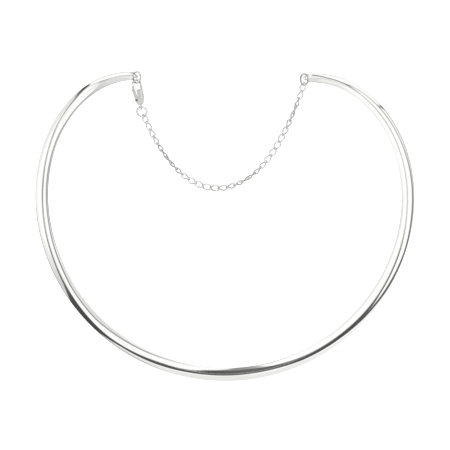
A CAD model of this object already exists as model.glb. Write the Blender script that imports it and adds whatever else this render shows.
import math

import bpy
import numpy as np
from mathutils import Matrix, Vector


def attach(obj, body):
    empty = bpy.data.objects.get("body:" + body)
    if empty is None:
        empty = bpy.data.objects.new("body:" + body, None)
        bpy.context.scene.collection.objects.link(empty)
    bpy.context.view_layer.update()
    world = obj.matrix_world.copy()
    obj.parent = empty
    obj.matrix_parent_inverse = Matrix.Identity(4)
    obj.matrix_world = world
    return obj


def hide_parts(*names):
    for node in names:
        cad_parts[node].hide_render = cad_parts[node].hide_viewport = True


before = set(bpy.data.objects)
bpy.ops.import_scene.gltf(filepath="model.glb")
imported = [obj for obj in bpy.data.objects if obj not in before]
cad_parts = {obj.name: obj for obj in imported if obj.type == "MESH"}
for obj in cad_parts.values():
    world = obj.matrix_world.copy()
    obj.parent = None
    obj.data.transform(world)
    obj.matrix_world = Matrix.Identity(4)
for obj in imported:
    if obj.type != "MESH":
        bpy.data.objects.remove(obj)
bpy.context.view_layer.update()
scene = bpy.context.scene
mm = 0.001  # sizes in the collar's, rings', links' and clasp's dictionaries are millimetres
print("frame:", len(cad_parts), "CAD nodes")


def join(tree, value, socket):
    if isinstance(value, bpy.types.NodeSocket):
        tree.links.new(value, socket)
    else:
        socket.default_value = value


def addNode(tree, kind, *values, **settings):
    made = tree.nodes.new(kind)
    for name, value in settings.items():
        setattr(made, name, value)
    for socket, value in zip(made.inputs, values):
        if value is not None:
            join(tree, value, socket)
    return made


def calc(tree, operation, *values, clamp=False):
    return addNode(tree, "ShaderNodeMath", *values, operation=operation, use_clamp=clamp).outputs[0]


def calcVector(tree, operation, *values):
    made = addNode(tree, "ShaderNodeVectorMath", *values, operation=operation)
    return made.outputs["Value" if operation == "DISTANCE" else "Vector"]


def spread(tree, value, low, high, toLow, toHigh, kind="LINEAR"):
    return addNode(
        tree, "ShaderNodeMapRange", value, low, high, toLow, toHigh, interpolation_type=kind
    ).outputs[0]


def noise(tree, place, grain):
    # grain: scale, detail, roughness
    return addNode(tree, "ShaderNodeTexNoise", place, None, *grain).outputs[0]


def blend(tree, share, first, second):
    made = addNode(tree, "ShaderNodeMix", data_type="RGBA")
    join(tree, share, made.inputs["Factor"])
    join(tree, first, made.inputs["A"])
    join(tree, second, made.inputs["B"])
    return made.outputs["Result"]


def smooth(x):
    x = np.clip(x, 0, 1)
    return x * x * (3 - 2 * x)


def mix(a, b, share):
    return a + (b - a) * share


def addObject(name, mesh):
    made = bpy.data.objects.new(name, mesh)
    scene.collection.objects.link(made)
    return made


def smoothFaces(mesh):
    mesh.polygons.foreach_set("use_smooth", [True] * len(mesh.polygons))


def sweepMesh(name, rings, closed, lengths):
    # rings: count x sides x 3 in metres; a UV holds the length in metres and the turn round the wire
    count, sides = rings.shape[:2]
    mesh = bpy.data.meshes.new(name)
    spans = count if closed else count - 1
    first = np.arange(spans)[:, None] * sides
    after = (np.arange(spans)[:, None] + 1) % count * sides
    side = np.arange(sides)[None]
    following = (side + 1) % sides
    quads = np.stack([first + side, first + following, after + following, after + side], -1).reshape(-1, 4)
    faces = quads.tolist()
    if not closed:
        faces.append(list(range(sides))[::-1])
        faces.append(list(range((count - 1) * sides, count * sides)))
    mesh.from_pydata(rings.reshape(-1, 3).tolist(), [], faces)
    layer = mesh.uv_layers.new(name="wire")
    here = np.broadcast_to(lengths[:spans, None], (spans, sides))
    there = np.broadcast_to(lengths[1 : spans + 1, None], (spans, sides))
    low = np.broadcast_to(side / sides, (spans, sides))
    high = np.broadcast_to((side + 1) / sides, (spans, sides))
    corners = np.stack(
        [np.stack(pair, -1) for pair in ((here, low), (here, high), (there, high), (there, low))], 2
    ).reshape(-1, 2)
    values = np.zeros((len(mesh.loops), 2), np.float32)
    values[: len(corners)] = corners
    layer.data.foreach_set("uv", values.ravel())
    smoothFaces(mesh)
    mesh.validate()
    mesh.update()
    return mesh


def restFrame(node):
    # middle and own axes of a CAD node, longest spread first
    points = np.array([v.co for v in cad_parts[node].data.vertices], float)
    centred = points - points.mean(0)
    axes = np.linalg.eigh(centred.T @ centred)[1][:, ::-1].T
    axes[2] = np.cross(axes[0], axes[1])
    middle = (centred @ axes.T).min(0) + (centred @ axes.T).max(0)
    return points.mean(0) + (middle / 2) @ axes, axes


cameraSettings = {  # lengths in metres, lens and sensor in millimetres
    "distance": 0.925,
    "lens": 200,
    "sensor": 36,
    "halfPixel": 0.000185,  # the step between the frame's middle and the photo's
}

cameraData = bpy.data.cameras.new("camera")
cameraData.lens = cameraSettings["lens"]
cameraData.sensor_width = cameraSettings["sensor"]
camera = bpy.data.objects.new("camera", cameraData)
camera.location = (-cameraSettings["halfPixel"], -cameraSettings["distance"], cameraSettings["halfPixel"])
camera.rotation_euler = (math.radians(90), 0, 0)
scene.collection.objects.link(camera)
scene.camera = camera
scene.view_settings.view_transform = "Standard"
scene.view_settings.look = "None"
print("camera placed")


def silver(name, finish):
    # polished silver: hairlines, a little cloudiness and a trace of tarnish
    material = bpy.data.materials.new(name)
    material.use_nodes = True
    tree = material.node_tree
    shader = tree.nodes["Principled BSDF"]
    shader.inputs["Metallic"].default_value = 1
    coordinates = addNode(tree, "ShaderNodeTexCoord")
    place = coordinates.outputs["Object"]
    if finish["drawn"]:
        wire = addNode(tree, "ShaderNodeSeparateXYZ", coordinates.outputs["UV"])
        turn = calc(tree, "MULTIPLY", wire.outputs[1], 2 * math.pi)
        streaks = addNode(
            tree,
            "ShaderNodeCombineXYZ",
            calc(tree, "MULTIPLY", wire.outputs[0], finish["streakAlong"]),
            calc(tree, "MULTIPLY", calc(tree, "COSINE", turn), finish["streakRound"]),
            calc(tree, "MULTIPLY", calc(tree, "SINE", turn), finish["streakRound"]),
        ).outputs[0]
    else:
        streaks = calcVector(tree, "MULTIPLY", place, finish["streakScale"])
    hairlines = noise(tree, streaks, finish["hairlineGrain"])
    cloud = noise(tree, place, finish["cloudGrain"])
    fine = noise(tree, place, finish["fineGrain"])
    tarnished = spread(tree, cloud, *finish["tarnishFrom"], 0, 1, "SMOOTHSTEP")
    tone = blend(tree, tarnished, finish["bright"], finish["tarnish"])
    if "sides" in finish:  # the wire's inner and outer sides are darker than its faces
        side = calc(tree, "ABSOLUTE", calc(tree, "COSINE", turn))
        side = spread(tree, side, *finish["sides"], 0, 1, "SMOOTHSTEP")
        tone = blend(tree, side, tone, finish["sideTone"])
    if "crease" in finish:  # a dark line where the round wire gives way to its flattened end
        away = calc(tree, "SUBTRACT", calc(tree, "ABSOLUTE", wire.outputs[0]), finish["crease"])
        mark = spread(tree, calc(tree, "ABSOLUTE", away), *finish["creaseReach"], 1, 0, "SMOOTHSTEP")
        tone = blend(tree, mark, tone, finish["creaseTone"])
    if "stain" in finish:  # a soft dark mark in the hollow beside the lever's pin
        away = calcVector(tree, "DISTANCE", place, finish["stain"])
        mark = spread(tree, away, *finish["stainReach"], 1, 0, "SMOOTHSTEP")
        tone = blend(tree, mark, tone, finish["stainTone"])
    tree.links.new(tone, shader.inputs["Base Color"])
    dull = calc(tree, "MULTIPLY", calc(tree, "SUBTRACT", hairlines, 0.5), finish["roughHairlines"])
    cloudy = spread(tree, cloud, *finish["roughFrom"], *finish["rough"])
    tree.links.new(calc(tree, "ADD", cloudy, dull, clamp=True), shader.inputs["Roughness"])
    heights = calc(tree, "ADD", hairlines, calc(tree, "MULTIPLY", fine, finish["fineShare"]))
    bump = addNode(tree, "ShaderNodeBump")
    bump.inputs["Strength"].default_value = 1
    bump.inputs["Distance"].default_value = finish["relief"]
    tree.links.new(heights, bump.inputs["Height"])
    tree.links.new(bump.outputs[0], shader.inputs["Normal"])
    return material


collarFinish = {  # lengths in a finish are metres
    "drawn": True,  # the hairlines follow the wire
    "streakAlong": 60,
    "streakRound": 9,
    "bright": (0.955, 0.953, 0.945, 1),
    "tarnish": (0.93, 0.925, 0.91, 1),
    "tarnishFrom": (0.35, 0.75),  # the clouding's range from bright to tarnished
    "hairlineGrain": (1, 3, 0.6),
    "cloudGrain": (90, 3, 0.55),
    "fineGrain": (2500, 2, 0.5),
    "fineShare": 0.1,
    "rough": (0.04, 0.085),
    "roughFrom": (0.3, 0.7),  # the clouding's range from the least to the most rough
    "roughHairlines": 0.04,
    "relief": 1.2e-6,
}
collarEndsFinish = dict(
    collarFinish,
    crease=0.16785,  # along the wire from the front to where a flattened end begins
    creaseReach=(0.0001, 0.00028),
    creaseTone=(0.5, 0.497, 0.49, 1),
)
chainFinish = dict(
    collarFinish,
    streakAlong=500,
    streakRound=4,
    bright=(0.93, 0.927, 0.92, 1),
    tarnish=(0.82, 0.815, 0.805, 1),
    sides=(0.6, 0.97),
    sideTone=(0.46, 0.456, 0.448, 1),
    cloudGrain=(300, 3, 0.55),
    rough=(0.08, 0.14),
    relief=6e-7,
)
ringFinish = dict(chainFinish, sideTone=(0.28, 0.277, 0.27, 1))
claspFinish = dict(
    collarFinish,
    drawn=False,
    stain=(-0.03303, -0.0023, 0.04622),  # the hollow beside the pin
    stainReach=(0.00025, 0.0007),
    stainTone=(0.12, 0.118, 0.115, 1),
    streakScale=(900, 900, 300),
    bright=(0.74, 0.738, 0.73, 1),
    tarnish=(0.62, 0.615, 0.6, 1),
    cloudGrain=(500, 3, 0.55),
    fineGrain=(4000, 2, 0.5),
    rough=(0.22, 0.34),
    relief=2e-6,
)
collarSilver = silver("collarSilver", collarEndsFinish)
chainSilver = silver("chainSilver", chainFinish)
ringSilver = silver("ringSilver", ringFinish)
claspSilver = silver("claspSilver", claspFinish)
print("silver finishes made")

collar = {
    "length": 339.2,
    "thickness": 4.8,
    "endThickness": 3,
    "thinPower": 7.5,  # how late the wire thins towards its ends
    "frontBend": 68.3,
    "claspEnd": (-1, 20.6, 6.2),  # side, bend radius, power
    "plainEnd": (1, 23.9, 4.8),
    "front": (0.9, -55.1),  # middle of the wire at the front
    "lean": 0.8,  # degrees
    "tabThickness": 1.6,
    "tabWidth": 3.3,
    "tabLength": 1.5,
    "shoulder": 0.4,
    "squareness": 2.7,  # of the flattened ends, where 2 is round
    "tipRound": 0.35,
    "tipLeast": 0.3,
    "eye": 1.7,
    "eyeInset": 1.7,
    "eyeSink": 0.16,
    "eyeSides": 64,
    "steps": 240,
    "sides": 48,
    "sharpAngle": 40,
}
halfLength = collar["length"] / 2


def heading(end, t):
    side, bend, power = end
    turned = t / collar["frontBend"] + (1 / bend - 1 / collar["frontBend"]) * t ** (power + 1) / (power + 1)
    return math.radians(collar["lean"]) + side * halfLength * turned


def edgeArc(u):
    # share of the full thickness that a rounded tip has left
    return np.maximum(collar["tipLeast"], np.sqrt(1 - (1 - np.clip(u, 0, 1)) ** 2))


def collarHalf(end):
    # rows of place along the wire, middle line's x and z, heading, thickness in the collar's plane,
    # width across it, and squareness
    side = end[0]
    t = np.sin(np.linspace(0, math.pi / 2, collar["steps"] + 1))
    between = (t[1:] + t[:-1]) / 2
    strides = side * halfLength * np.diff(t)
    x = collar["front"][0] + np.r_[0, np.cumsum(strides * np.cos(heading(end, between)))]
    z = collar["front"][1] + np.r_[0, np.cumsum(strides * np.sin(heading(end, between)))]
    wire = mix(collar["thickness"], collar["endThickness"], t ** collar["thinPower"])
    left = halfLength * (1 - t)
    roundness = smooth((left - collar["tabLength"]) / collar["shoulder"])
    thick = mix(collar["tabThickness"], wire, roundness) * edgeArc(left / collar["tipRound"])
    wide = mix(collar["tabWidth"], wire, roundness) * edgeArc(left / (collar["tabWidth"] / 2))
    square = mix(collar["squareness"], 2, roundness)
    return np.stack([side * t * halfLength, x, z, heading(end, t), thick, wide, square], -1)


def makeCollar():
    left = collarHalf(collar["claspEnd"])
    right = collarHalf(collar["plainEnd"])
    line = np.vstack([left[::-1], right[1:]])
    along, x, z, angle, thick, wide, square = line.T
    turn = 2 * math.pi * np.arange(collar["sides"]) / collar["sides"]
    power = 2 / square[:, None]
    inPlane = np.sign(np.cos(turn)) * np.abs(np.cos(turn))[None] ** power * thick[:, None] / 2
    across = np.sign(np.sin(turn)) * np.abs(np.sin(turn))[None] ** power * wide[:, None] / 2
    normal = np.stack([-np.sin(angle), np.zeros_like(angle), np.cos(angle)], -1)
    centre = np.stack([x, np.zeros_like(x), z], -1)
    rings = centre[:, None] + inPlane[..., None] * normal[:, None] + across[..., None] * np.array([0, 1, 0])
    solid = addObject("collarWire", sweepMesh("collarWire", rings * mm, False, along * mm))
    for end, half in ((collar["claspEnd"], left), (collar["plainEnd"], right)):
        tip = half[-1]
        back = end[0] * collar["eyeInset"]
        middle = Vector((tip[1] - back * math.cos(tip[3]), 0, tip[2] - back * math.sin(tip[3])))
        eyeHeading = heading(end, 1 - collar["eyeInset"] / halfLength)
        axis = Vector((-math.sin(eyeHeading), 0, math.cos(eyeHeading)))
        cutEye(solid, middle * mm, axis)
    solid.data.materials.clear()
    solid.data.materials.append(collarSilver)
    return solid


def cutEye(solid, middle, axis):
    # a drilled hole with its rims eased: the cutter flares at 45 degrees from just below each face
    radius = collar["eye"] / 2
    half = collar["tabThickness"] / 2
    sink = collar["eyeSink"]
    flared = radius + sink * 3
    top = half + sink * 2
    profile = ((flared, -top), (radius, sink - half), (radius, half - sink), (flared, top))
    sides = collar["eyeSides"]
    turn = 2 * math.pi * np.arange(sides) / sides
    rings = np.stack(
        [np.stack([r * np.cos(turn), r * np.sin(turn), np.full(sides, h)], -1) for r, h in profile]
    )
    mesh = sweepMesh("cutter", rings * mm, False, np.arange(len(profile)) * mm)
    mesh.flip_normals()
    cutter = addObject("cutter", mesh)
    cutter.matrix_world = Matrix.Translation(middle) @ axis.to_track_quat("Z", "Y").to_matrix().to_4x4()
    hole = solid.modifiers.new("eye", "BOOLEAN")
    hole.object = cutter
    hole.solver = "EXACT"
    hole.operation = "DIFFERENCE"
    bakeModifiers(solid)
    bpy.data.objects.remove(cutter)


def bakeModifiers(piece):
    bpy.context.view_layer.update()
    graph = bpy.context.evaluated_depsgraph_get()
    mesh = bpy.data.meshes.new_from_object(piece.evaluated_get(graph), depsgraph=graph)
    piece.modifiers.clear()
    piece.data = mesh


collarWire = makeCollar()
smoothFaces(collarWire.data)
collarWire.data.set_sharp_from_angle(angle=math.radians(collar["sharpAngle"]))
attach(collarWire, "necklace")
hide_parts("collar")
print("collar:", len(collarWire.data.polygons), "faces")

jumpRings = {
    "wire": 0.75,
    "seamWidth": 0.05,
    "seamDepth": 0.035,  # share of the wire's radius
    "steps": 120,
    "sides": 32,
    "rows": (  # piece, CAD node, middle radius, degrees to its soldered seam
        ("ringLeft", "ring_left", 2.05, 70),
        ("ringRight", "ring_right", 2.05, 250),
        ("endRing", "end_ring", 1.82, 160),
    ),
}


def makeRing(name, node, radius, seamAt):
    middle, axes = restFrame(node)
    steps = jumpRings["steps"]
    sides = jumpRings["sides"]
    turn = 2 * math.pi * np.arange(steps) / steps
    away = (turn - math.radians(seamAt) + math.pi) % (2 * math.pi) - math.pi
    seam = np.exp(-((away * radius / jumpRings["seamWidth"]) ** 2))
    wire = jumpRings["wire"] / 2 * (1 - jumpRings["seamDepth"] * seam)
    around = 2 * math.pi * np.arange(sides) / sides
    out = radius + wire[:, None] * np.cos(around)
    rings = np.stack(
        [out * np.cos(turn)[:, None], out * np.sin(turn)[:, None], wire[:, None] * np.sin(around)], -1
    )
    placed = (middle + rings.reshape(-1, 3) * mm @ axes).reshape(rings.shape)
    lengths = np.arange(steps + 1) / steps * 2 * math.pi * radius * mm
    ring = addObject(name, sweepMesh(name, placed[:, ::-1], True, lengths))
    ring.data.materials.append(ringSilver)
    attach(ring, "necklace")
    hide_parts(node)


for row in jumpRings["rows"]:
    makeRing(*row)
print("jump rings made")

linkSettings = {
    "count": 32,
    "length": 4.05,
    "width": 2.6,
    "wire": 0.58,
    "twist": 90,
    "steps": 64,
    "sides": 16,
    "nudge": 0.001,  # radians either way, to find which way the wire runs
    "lap": 10,  # about the wire's length round a link
}


def makeLink(number):
    node = f"link_{number:02d}"
    middle, axes = restFrame(node)
    steps = linkSettings["steps"]
    sides = linkSettings["sides"]
    wire = linkSettings["wire"] / 2
    reach = linkSettings["length"] / 2 - wire
    half = linkSettings["width"] / 2 - wire

    def curve(t):
        turn = -math.radians(linkSettings["twist"]) / 2 * np.cos(t)
        return np.stack(
            [reach * np.cos(t), -half * np.sin(t) * np.sin(turn), half * np.sin(t) * np.cos(turn)], -1
        )

    t = 2 * math.pi * np.arange(steps) / steps
    line = curve(t)
    along = curve(t + linkSettings["nudge"]) - curve(t - linkSettings["nudge"])
    along /= np.linalg.norm(along, axis=1, keepdims=True)
    out = line - along * (line * along).sum(1, keepdims=True)
    out /= np.linalg.norm(out, axis=1, keepdims=True)
    up = np.cross(along, out)
    around = 2 * math.pi * np.arange(sides) / sides
    rings = line[:, None] + wire * (
        np.cos(around)[None, :, None] * out[:, None] + np.sin(around)[None, :, None] * up[:, None]
    )
    # the link's second longest axis is Z in its own frame
    own = np.stack([axes[0], -axes[2], axes[1]])
    placed = (middle + rings.reshape(-1, 3) * mm @ own).reshape(rings.shape)
    lengths = np.arange(steps + 1) / steps * linkSettings["lap"] * mm
    link = addObject(f"link{number:02d}", sweepMesh(f"link{number:02d}", placed, True, lengths))
    link.data.materials.append(chainSilver)
    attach(link, "necklace")
    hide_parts(node)


for number in range(1, linkSettings["count"] + 1):
    makeLink(number)
print("chain links made")

clasp = {
    "relax": 0.5,  # strength of a smoothing pass
    "rows": (  # piece, CAD node, body, voxel, smoothing passes
        ("claspBody", "clasp_body", "necklace", 0.05, 12),
        ("claspLever", "clasp_lever", "lever", 0.04, 8),
        ("claspPin", "clasp_pin", "necklace", 0.03, 6),
    ),
}


def makeClaspPart(name, node, body, voxel, passes):
    # the solid's own mesh with its edges softened
    part = addObject(name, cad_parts[node].data.copy())
    remesh = part.modifiers.new("remesh", "REMESH")
    remesh.mode = "VOXEL"
    remesh.voxel_size = voxel * mm
    bakeModifiers(part)
    relax = part.modifiers.new("relax", "SMOOTH")
    relax.factor = clasp["relax"]
    relax.iterations = passes
    bakeModifiers(part)
    smoothFaces(part.data)
    part.data.materials.clear()
    part.data.materials.append(claspSilver)
    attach(part, body)
    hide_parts(node)
    print(name, len(part.data.polygons), "faces")


for row in clasp["rows"]:
    makeClaspPart(*row)

floorSettings = {  # lengths in metres
    "size": 6,
    "height": -0.12,
    "tone": (0.95, 0.95, 0.95, 1),
    "roughness": 0.9,
}


def makeFloor():
    mesh = bpy.data.meshes.new("floor")
    half = floorSettings["size"] / 2
    corners = [(-half, -half), (half, -half), (half, half), (-half, half)]
    mesh.from_pydata([(x, y, floorSettings["height"]) for x, y in corners], [], [(0, 1, 2, 3)])
    floor = addObject("floor", mesh)
    material = bpy.data.materials.new("paleFloor")
    material.use_nodes = True
    shader = material.node_tree.nodes["Principled BSDF"]
    shader.inputs["Base Color"].default_value = floorSettings["tone"]
    shader.inputs["Roughness"].default_value = floorSettings["roughness"]
    mesh.materials.append(material)
    floor.visible_glossy = False


makeFloor()

lightSettings = {
    "world": 1.35,
    "panels": 1.07,
    "displayPower": 2.2,  # turns a card's lightness on screen into its light
}

world = bpy.data.worlds.new("studioWorld")
scene.world = world
world.use_nodes = True
worldBack = world.node_tree.nodes["Background"]
worldBack.inputs["Color"].default_value = (1, 1, 1, 1)
worldBack.inputs["Strength"].default_value = lightSettings["world"]

# Flags and grey cards that hang in one soft light dome. Each one is placed by where its reflection
# runs along the collar: the softness of its sides, and then rows of (degrees round the torc, from and
# to across the wire, lightness). The degrees tell which way the wire's outer side faces: 90 is up at
# the clasp end, 180 left, 270 down at the front, 360 right and 450 up at the plain end. Across the
# wire, 1 is the outer edge and -1 the inner edge, and 1.2 and -1.2 lie well past them.
cards = {
    "longFlag": (
        0.1,
        (122.3, 0.95, 1.15, 1), (123.3, 0.7, 1.15, 0.3), (127.4, 0.6, 1.12, 0.32), (132.5, 0.4, 0.85, 0.5),
        (136, 0.28, 0.54, 0.6), (145, 0.18, 0.38, 0.7), (151, 0.14, 0.34, 0.7), (155, 0.04, 0.24, 0.62),
        (162, -0.1, 0.1, 0.56), (176, -0.22, -0.01, 0.46), (189, -0.15, 0.07, 0.52), (201, 0, 0.22, 0.5),
        (210, 0.15, 0.42, 0.4), (216, 0.26, 1, 0.3), (227, 0.42, 1.02, 0.28), (231, 0.44, 0.82, 0.3),
        (236, 0.35, 0.6, 0.3), (248, 0.03, 0.45, 0.33), (259, -0.15, 0.25, 0.32), (264, -0.5, 0.2, 0.33),
        (268, -0.6, 0.18, 0.34), (273, -0.62, 0.17, 0.38), (278, -0.62, 0.15, 0.4), (282, -0.5, 0.16, 0.38),
        (286, -0.36, 0.18, 0.36), (294, -0.17, 0.35, 0.33), (305, -0.02, 0.45, 0.31), (312, 0.05, 0.52, 0.3),
        (317, 0.08, 0.5, 0.33), (322, 0.1, 0.44, 0.38), (326, 0.1, 0.32, 0.4), (329, 0.08, 0.28, 0.38),
        (341, 0, 0.2, 0.45), (354, -0.15, 0.01, 0.64), (360, -0.16, -0.02, 0.72), (383, -0.2, -0.06, 0.76),
        (400, -0.17, -0.04, 0.7), (412, -0.1, 0.05, 0.64), (418, 0, 0.16, 0.6), (421, 0.06, 0.22, 0.58),
        (422.5, 0.08, 0.36, 0.5), (426, 0.1, 0.3, 0.54), (431, 0.14, 0.33, 0.56), (436, 0.13, 0.33, 0.54),
        (440, 0.19, 0.39, 0.52), (443.6, 0.3, 0.51, 0.5), (446, 0.37, 0.58, 0.48), (448.4, 0.44, 0.65, 0.46),
        (451, 0.5, 0.71, 0.46), (454, 0.61, 0.83, 0.46), (460, 0.75, 0.95, 0.46),
    ),
    "bottomCard": (
        0.12,
        (264, -0.6, -0.45, 1), (268, -0.66, -0.5, 0.6), (271, -0.8, -0.5, 0.56), (274, -1.05, -0.5, 0.56),
        (277, -1.15, -0.5, 0.6), (280, -0.92, -0.45, 0.68), (282, -0.7, -0.4, 0.8), (284, -0.55, -0.4, 1),
    ),
    "upperFlag": (
        0.1,
        (308, 0.2, 0.5, 0.5), (317, 0.42, 0.68, 0.32), (329, 0.6, 0.9, 0.36), (341, 0.74, 0.97, 0.4),
        (354, 0.63, 0.88, 0.5), (367, 0.6, 0.8, 0.58), (383, 0.5, 0.66, 0.68), (401, 0.43, 0.57, 0.62),
        (412, 0.36, 0.5, 0.74), (419, 0.32, 0.46, 0.76), (422, 0.24, 0.42, 0.68), (425, 0.2, 0.35, 1),
    ),
    "hookFlag": (
        0.08,
        (397, 0.95, 1.15, 1), (398, 0.9, 1.12, 0.46), (400, 0.74, 1, 0.42), (401.6, 0.5, 0.9, 0.48),
        (402.8, 0.46, 0.62, 1),
    ),
    "farLine": (
        0.09,
        (121, -0.95, -0.6, 0.84), (126, -0.95, -0.68, 0.72), (145, -0.95, -0.7, 0.7),
        (155, -0.84, -0.62, 0.58), (176, -0.82, -0.62, 0.58), (189, -0.8, -0.62, 0.56),
        (205, -0.64, -0.46, 0.48), (213, -0.46, -0.28, 0.54), (225, -0.33, -0.16, 0.52),
        (236, -0.6, -0.42, 0.55), (244, -0.78, -0.58, 0.62), (250, -0.9, -0.7, 0.76),
        (258, -1, -0.82, 0.88), (266, -1.1, -0.92, 1),
    ),
    "farShade": (
        0.16,
        (198, -0.9, -0.7, 1), (208, -0.88, -0.55, 0.88), (225, -0.84, -0.3, 0.85), (236, -0.85, -0.55, 0.88),
        (250, -0.95, -0.8, 1),
    ),
    "claspEndShade": (
        0.1,
        (76, -1.2, 0.28, 0.86), (110, -1.2, 0.27, 0.86), (116.5, -1.2, 0.2, 0.81), (118, -1.2, -0.1, 0.8),
        (120, -1.2, -0.3, 0.8), (123, -1.2, -0.45, 0.8), (130, -1.2, -0.62, 0.82), (150, -1.2, -0.7, 0.88),
        (165, -1.2, -0.85, 0.97), (176, -1.2, -0.9, 1),
    ),
    "claspEndLine": (
        0.12,
        (76, 0.08, 0.28, 0.8), (106, 0.08, 0.28, 0.8), (112, 0.05, 0.34, 0.68), (116.5, 0.1, 0.4, 0.64),
        (118.2, 0.32, 0.5, 0.8), (124, 0.46, 0.6, 0.86), (128, 0.5, 0.6, 1),
    ),
    "outerLeft": (
        0.25,
        (124, 0.6, 1.2, 1), (128, 0.6, 1.2, 0.82), (142, 0.4, 1.2, 0.9), (176, 0.75, 1.2, 0.92),
        (192, 0.65, 1.2, 0.94), (201, 0.35, 1.2, 0.91), (210, 0.35, 1.2, 0.8), (217, 0.9, 1.2, 1),
    ),
    "outerFront": (
        0.12,
        (226, 1, 1.2, 1), (232, 0.8, 1.2, 0.8), (250, 0.5, 1.2, 0.9), (271, 0.25, 1.2, 0.9),
        (294, 0.45, 1.2, 0.92), (317, 0.75, 1.2, 0.95), (328, 1, 1.2, 1),
    ),
    "outerRight": (
        0.12,
        (328, 0.95, 1.2, 0.88), (341, 0.9, 1.2, 0.8), (367, 0.78, 1.2, 0.8), (390, 0.75, 1.2, 0.84),
        (399, 0.8, 1.2, 0.9), (402, 0.8, 1.2, 1),
    ),
    "innerRight": (
        0.2,
        (292, -1, -0.75, 1), (317, -0.96, -0.75, 0.88), (341, -1, -0.78, 0.88), (354, -1, -0.72, 0.86),
        (378, -0.95, -0.8, 0.96), (400, -0.95, -0.8, 0.9), (415, -0.95, -0.7, 0.96),
        (430, -0.95, -0.55, 0.87), (460, -0.95, -0.5, 0.88),
    ),
    "innerFront": (
        0.1,
        (279, -1.1, -0.88, 0.88), (292, -1.05, -0.9, 0.9), (312, -1.05, -0.9, 1),
    ),
    "outerRim": (
        0.06,
        (76, 0.86, 1.2, 0.72), (118, 0.88, 1.2, 0.72), (126, 0.94, 1.2, 0.72), (180, 0.94, 1.2, 0.74),
        (188, 0.9, 1.2, 0.66), (208, 0.9, 1.2, 0.5), (247, 0.9, 1.2, 0.5), (256, 0.94, 1.2, 0.78),
        (358, 0.94, 1.2, 0.78), (368, 0.9, 1.2, 0.68), (396, 0.9, 1.2, 0.7), (404, 0.88, 1.2, 0.8),
        (420, 0.9, 1.2, 0.82), (436, 0.87, 1.2, 0.74), (460, 0.86, 1.2, 0.72),
    ),
    "innerRim": (
        0.06,
        (76, -1.2, -0.87, 0.62), (128, -1.2, -0.87, 0.62), (140, -1.2, -0.91, 0.72), (160, -1.2, -0.91, 0.7),
        (170, -1.2, -0.87, 0.56), (196, -1.2, -0.87, 0.6), (212, -1.2, -0.94, 0.8), (274, -1.2, -0.94, 0.8),
        (284, -1.2, -0.88, 0.7), (296, -1.2, -0.94, 0.8), (460, -1.2, -0.94, 0.8),
    ),
    "plainEndShade": (
        0.3,
        (415, -1.2, 0, 1), (430, -1.2, 0.1, 0.93), (448, -1.2, 0.4, 0.93), (460, -1.2, 0.7, 0.93),
    ),
}
domeSettings = {  # lengths in metres
    "radius": 0.42,
    "middle": (0, 0, 0.01),
    "bands": 240,
    "sides": 480,
    "swap": (0.002, 0.007),  # how far past its radius a ray has come when it crossed the opening
    "frontAngle": 270,
}


def cardLevel(azimuth, across):
    # lightness of the dome where it shows at that place on the collar
    level = np.ones_like(azimuth)
    for softness, *rows in cards.values():
        at, low, high, light = np.array(rows).T
        light = np.interp(azimuth, at, light, left=1, right=1)
        inside = smooth((across - np.interp(azimuth, at, low)) / softness + 0.5)
        inside *= smooth((np.interp(azimuth, at, high) - across) / softness + 0.5)
        level = np.minimum(level, 1 - inside * (1 - light))
    return level


def taperAt(along):
    # how fast the wire's radius falls towards the plain end
    t = along / halfLength
    fall = (collar["thickness"] - collar["endThickness"]) / 2 * collar["thinPower"] / halfLength
    return fall * abs(t) ** (collar["thinPower"] - 1) * np.sign(t)


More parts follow.
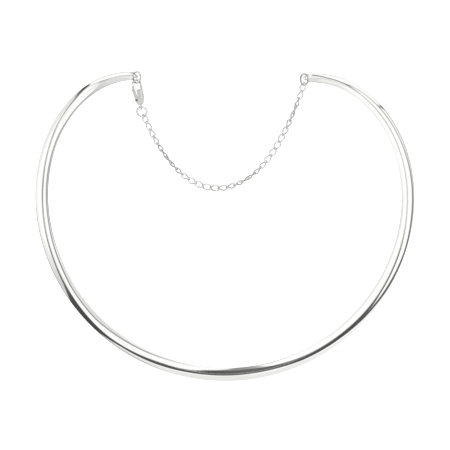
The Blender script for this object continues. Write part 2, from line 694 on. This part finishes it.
def placesOnCollar(spots):
    # degrees round the torc and place across the wire where each spot of the dome shows to the
    # camera: first by its rays that leave the wire outwards, then by those that cross the opening
    line = np.vstack([collarHalf(collar["claspEnd"])[::-2], collarHalf(collar["plainEnd"])[2::2]])
    flat = spots[:, [0, 2]]
    outer = np.full((len(spots), 3), np.nan)
    outer[:, 2] = -np.inf
    inner = np.full((len(spots), 3), np.nan)
    inner[:, 2] = np.inf
    before = None
    for row in line:
        wire = row[1:3] * mm
        turn = row[3] - math.pi / 2
        outward = np.array([math.cos(turn), math.sin(turn)])
        onward = np.array([-math.sin(turn), math.cos(turn)])
        away = flat - wire
        distance = np.sqrt((away**2).sum(1) + spots[:, 1] ** 2)
        reach = away @ outward
        tilt = math.atan(wire @ outward / cameraSettings["distance"])
        across = np.sin((np.arctan2(reach, -spots[:, 1]) + tilt) / 2)
        # a ray keeps its lean along the wire, and the taper turns it on towards the end
        lean = wire @ onward / cameraSettings["distance"] + 2 * np.sqrt(1 - across**2) * taperAt(row[0])
        slip = away @ onward - distance * lean
        azimuth = np.full(len(spots), math.degrees(row[3]) + domeSettings["frontAngle"])
        here = np.stack([azimuth, across, reach], -1)
        if before is not None:
            slipBefore, placeBefore = before
            crossing = slip * slipBefore <= 0
            share = slipBefore / np.where(crossing, slipBefore - slip, 1)
            place = mix(placeBefore, here, share[:, None])
            farther = crossing & (place[:, 2] > outer[:, 2])
            nearer = crossing & (place[:, 2] < inner[:, 2])
            outer[farther] = place[farther]
            inner[nearer] = place[nearer]
        before = slip, here
    return outer, inner


def makeDome():
    radius = domeSettings["radius"]
    bands, sides = domeSettings["bands"], domeSettings["sides"]
    tilt = math.pi * np.arange(1, bands) / bands
    turn = 2 * math.pi * np.arange(sides) / sides
    ring = np.stack([np.cos(turn), np.zeros(sides), np.sin(turn)], -1)
    rings = np.sin(tilt)[:, None, None] * ring - np.cos(tilt)[:, None, None] * np.array([0, 1, 0])
    rings = rings * radius + np.array(domeSettings["middle"])
    mesh = sweepMesh("lightDome", rings, False, np.arange(bands) * mm)
    spots = np.array([v.co for v in mesh.vertices], float)
    for name, places in zip(("outer", "inner"), placesOnCollar(spots)):
        azimuth, across = places[:, 0], places[:, 1]
        level = np.where(np.isnan(azimuth), 1, cardLevel(np.nan_to_num(azimuth), np.nan_to_num(across)))
        glow = level ** lightSettings["displayPower"] * lightSettings["panels"]
        attribute = mesh.attributes.new(name, "FLOAT", "POINT")
        attribute.data.foreach_set("value", glow.astype(np.float32))

    material = bpy.data.materials.new("lightDome")
    material.use_nodes = True
    tree = material.node_tree
    tree.nodes.clear()
    outer = addNode(tree, "ShaderNodeAttribute", attribute_name="outer").outputs["Fac"]
    inner = addNode(tree, "ShaderNodeAttribute", attribute_name="inner").outputs["Fac"]
    travelled = addNode(tree, "ShaderNodeLightPath").outputs["Ray Length"]
    near, far = (radius + d for d in domeSettings["swap"])
    crossed = spread(tree, travelled, near, far, 0, 1, "SMOOTHSTEP")
    change = calc(tree, "MULTIPLY", crossed, calc(tree, "SUBTRACT", inner, outer))
    light = addNode(tree, "ShaderNodeEmission", (1, 1, 1, 1), calc(tree, "ADD", outer, change))
    addNode(tree, "ShaderNodeOutputMaterial", light.outputs[0])
    material.cycles.emission_sampling = "NONE"
    mesh.materials.append(material)
    dome = addObject("lightDome", mesh)
    dome.visible_camera = False
    dome.visible_diffuse = False
    dome.visible_transmission = False
    dome.visible_volume_scatter = False
    dome.visible_shadow = False


makeDome()
print("studio made")
